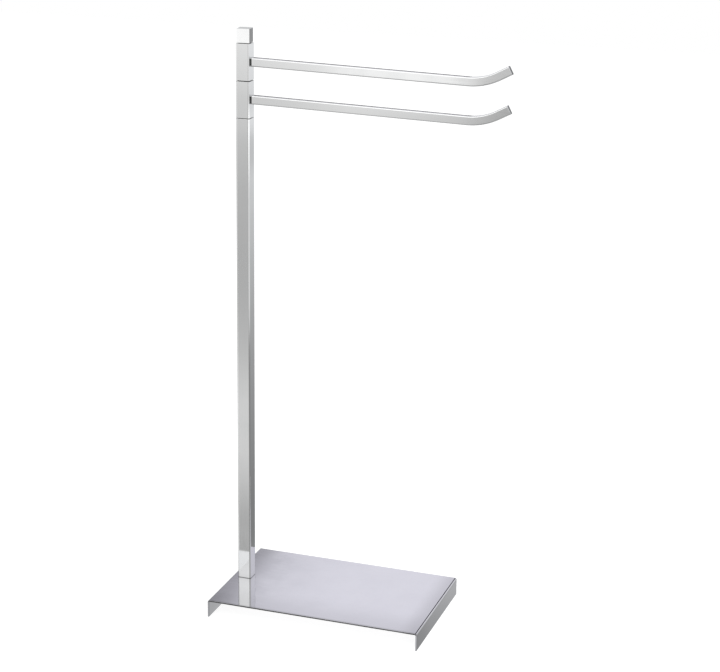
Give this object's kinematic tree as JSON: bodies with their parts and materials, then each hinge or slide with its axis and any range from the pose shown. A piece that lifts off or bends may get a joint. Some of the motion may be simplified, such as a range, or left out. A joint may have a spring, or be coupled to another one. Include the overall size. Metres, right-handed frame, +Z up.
{
  "type": "freestanding towel stand",
  "caption": "Chrome towel stand: low folded base plate, square post near one end, and flat towel bars with upturned tips that swing on the post.",
  "frame": {"origin": "on the floor, at the middle of the stand's box with its arms in their rest places", "axes": "+Z up along the post, +X from the post towards the free end of the base plate, -Y the front"},
  "size_m": [0.398, 0.202, 0.8365],
  "materials": {
    "polished_base": "bright chrome on polished sheet steel",
    "chromed_tube": "bright chrome on drawn square tube",
    "chromed_bar": "bright chrome on flat tube",
    "chromed_plug": "bright chrome on a zinc casting",
    "chromed_cap": "bright chrome on a machined block",
    "zinc_steel": "zinc plated",
    "spring_steel": "oiled spring steel",
    "stainless_steel": "ground",
    "black_steel": "blackened",
    "black_acetal": "moulded",
    "white_acetal": "moulded"
  },
  "bodies": {
    "stand": {"base_plate": "polished_base", "base_doubler": "zinc_steel", "foot_washer": "zinc_steel", "foot_lock_washer": "spring_steel", "foot_screw": "zinc_steel", "foot_dowel": "spring_steel", "foot_block": "zinc_steel", "post_tube": "chromed_tube", "post_top_block": "zinc_steel", "spindle": "stainless_steel", "thrust_washer_bottom": "black_acetal", "thrust_washer_middle": "black_acetal", "thrust_washer_top": "black_acetal", "friction_spring": "spring_steel", "top_cap": "chromed_cap", "cap_grub_screw": "black_steel"},
    "lower_arm": {"lower_collar": "chromed_tube", "lower_bush_bottom": "white_acetal", "lower_bush_top": "white_acetal", "lower_arm_bar": "chromed_bar", "lower_arm_root_plug": "zinc_steel", "lower_arm_stud": "zinc_steel", "lower_arm_clamp_plate": "zinc_steel", "lower_arm_nut": "zinc_steel", "lower_arm_tip_plug": "chromed_plug"},
    "upper_arm": {"upper_collar": "chromed_tube", "upper_bush_bottom": "white_acetal", "upper_bush_top": "white_acetal", "upper_arm_bar": "chromed_bar", "upper_arm_root_plug": "zinc_steel", "upper_arm_stud": "zinc_steel", "upper_arm_clamp_plate": "zinc_steel", "upper_arm_nut": "zinc_steel", "upper_arm_tip_plug": "chromed_plug"}
  },
  "joints": [
    {"name": "lower_arm_swing", "type": "hinge", "parent": "stand", "child": "lower_arm", "pos_m": [-0.17905, 0, 0.7391], "axis": [0, 0, 1], "continuous": true},
    {"name": "upper_arm_swing", "type": "hinge", "parent": "stand", "child": "upper_arm", "pos_m": [-0.17905, 0, 0.7909], "axis": [0, 0, 1], "continuous": true}
  ]
}
